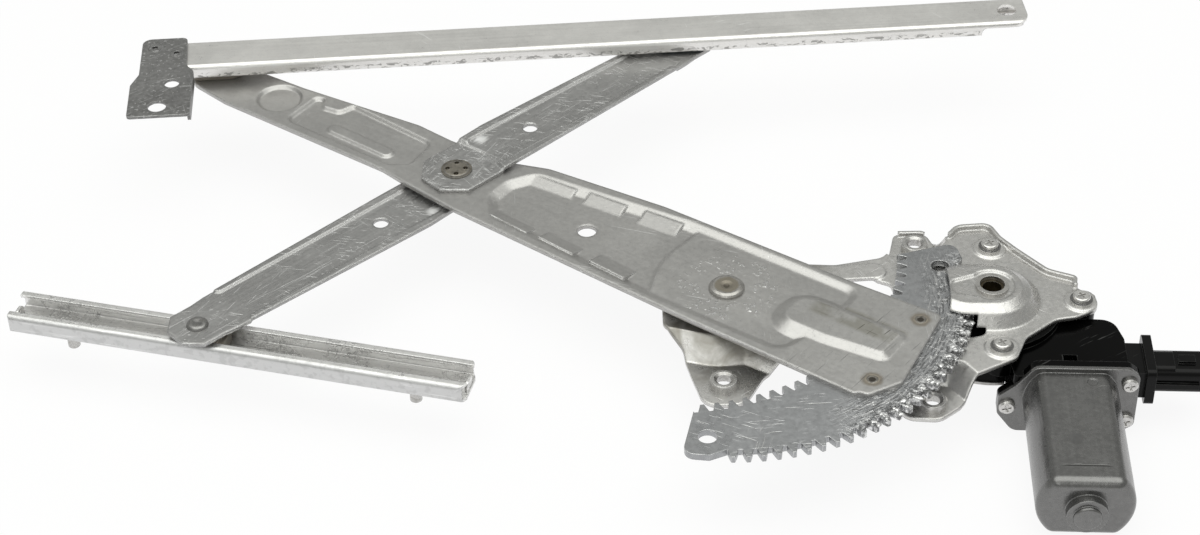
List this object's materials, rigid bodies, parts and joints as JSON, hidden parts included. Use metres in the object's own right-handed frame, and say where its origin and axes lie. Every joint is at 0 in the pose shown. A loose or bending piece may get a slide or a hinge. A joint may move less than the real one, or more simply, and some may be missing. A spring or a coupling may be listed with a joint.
{
  "type": "power window regulator",
  "caption": "Crossed-arm power window regulator: motor and pinion drive a toothed sector on the lift arm, and two rails carry its sliders.",
  "frame": {"origin": "centre of the seat of the weld nut on the base plate's near left ear, the first of its three fixings to the door", "axes": "+X along the lift rail towards the motor end, +Y the way the glass rises, +Z out of the door panel towards the rails"},
  "size_m": [0.57, 0.3743, 0.0595],
  "materials": {
    "zinc_plate": "satin zinc-coated pressed steel",
    "arm_steel": "satin galvanised pressed steel",
    "equalizer_steel": "worn grey zinc-coated steel",
    "sector_steel": "blanked steel, scratched and greased",
    "rail_steel": "satin zinc-coated roll-formed steel",
    "bracket_steel": "dull rough zinc",
    "rivet_steel": "plain steel",
    "nut_steel": "plain steel",
    "screw_steel": "dark zinc",
    "can_steel": "dark grey satin steel",
    "housing_plastic": "black glass-filled plastic",
    "cover_steel": "pressed cover",
    "shoe_plastic": "grey-brown moulded plastic",
    "upper_shoe_plastic": "blue-grey moulded plastic",
    "collar_plastic": "pale moulded plastic",
    "wheel_plastic": "ivory moulded plastic",
    "gear_steel": "sintered steel",
    "bush_brass": "sintered bronze",
    "terminal_brass": "tinned brass",
    "copper": "enamelled copper",
    "magnet": "ferrite"
  },
  "bodies": {
    "base": {"base_plate": "zinc_plate", "base_weld_nuts": "nut_steel", "pinion_bush": "bush_brass", "motor_mount_screws": "screw_steel", "gear_housing": "housing_plastic", "gear_housing_cover": "cover_steel", "motor_can": "can_steel", "can_screws": "screw_steel", "connector_housing": "housing_plastic", "connector_pins": "terminal_brass", "can_magnets": "magnet", "brush_holder": "magnet", "rear_bearing": "bush_brass", "main_pivot_pin": "rivet_steel", "pivot_washer": "collar_plastic"},
    "lift_arm": {"lift_arm": "arm_steel", "sector_gear": "sector_steel", "lift_slider_pin": "rivet_steel"},
    "equalizer": {"equalizer_upper": "equalizer_steel", "equalizer_lower": "equalizer_steel", "x_pivot_pin": "rivet_steel", "upper_slider_pin": "rivet_steel", "guide_slider_pin": "rivet_steel"},
    "lift_slider": {"lift_slider": "shoe_plastic"},
    "upper_slider": {"upper_slider": "upper_shoe_plastic"},
    "guide_slider": {"guide_slider": "shoe_plastic", "guide_collar": "collar_plastic"},
    "lift_rail": {"lift_rail": "rail_steel", "glass_bracket": "bracket_steel"},
    "guide_rail": {"guide_rail": "rail_steel", "guide_rail_studs": "nut_steel"},
    "output": {"worm_wheel": "wheel_plastic", "output_pinion": "gear_steel"},
    "armature": {"armature_shaft": "gear_steel", "armature_core": "gear_steel", "armature_windings": "copper", "commutator": "copper"}
  },
  "joints": [
    {"name": "lift_arm_pivot", "type": "hinge", "parent": "base", "child": "lift_arm", "pos_m": [0.007, 0.053, 0.0173], "axis": [0, 0, 1], "range_deg": [-5, 75]},
    {"name": "equalizer_pivot", "type": "hinge", "parent": "lift_arm", "child": "equalizer", "pos_m": [-0.1205, 0.15773, 0.0173], "axis": [0, 0, 1], "range_deg": [-150, 10]},
    {"name": "lift_slider_pivot", "type": "hinge", "parent": "lift_arm", "child": "lift_slider", "pos_m": [-0.248, 0.26246, 0.0173], "axis": [0, 0, 1], "range_deg": [-75, 5]},
    {"name": "lift_rail_slide", "type": "slide", "parent": "lift_slider", "child": "lift_rail", "axis": [1, 0, 0], "range_m": [-0.09, 0.02]},
    {"name": "upper_slider_pivot", "type": "hinge", "parent": "equalizer", "child": "upper_slider", "pos_m": [0.007, 0.26246, 0.0173], "axis": [0, 0, 1], "range_deg": [-5, 75]},
    {"name": "guide_slider_pivot", "type": "hinge", "parent": "equalizer", "child": "guide_slider", "pos_m": [-0.248, 0.053, 0.0173], "axis": [0, 0, 1], "range_deg": [-5, 75]},
    {"name": "guide_rail_slide", "type": "slide", "parent": "guide_slider", "child": "guide_rail", "axis": [0.9489, -0.3156, 0], "range_m": [-0.115, 0.055]},
    {"name": "pinion_spin", "type": "hinge", "parent": "base", "child": "output", "pos_m": [0.13396, 0.04022, 0.0173], "axis": [0, 0, 1], "range_deg": [-895, 62]},
    {"name": "armature_spin", "type": "hinge", "parent": "base", "child": "armature", "pos_m": [0.16139, -0.0236, -0.0077], "axis": [-0.1219, -0.9925, 0], "continuous": true}
  ],
  "couplings": [
    {"joint": "equalizer_pivot", "follows": "lift_arm_pivot", "ratio": -2},
    {"joint": "lift_slider_pivot", "follows": "lift_arm_pivot", "ratio": -1},
    {"joint": "upper_slider_pivot", "follows": "lift_arm_pivot", "ratio": 1},
    {"joint": "guide_slider_pivot", "follows": "lift_arm_pivot", "ratio": 1},
    {"joint": "pinion_spin", "follows": "lift_arm_pivot", "ratio": -11.889}
  ]
}
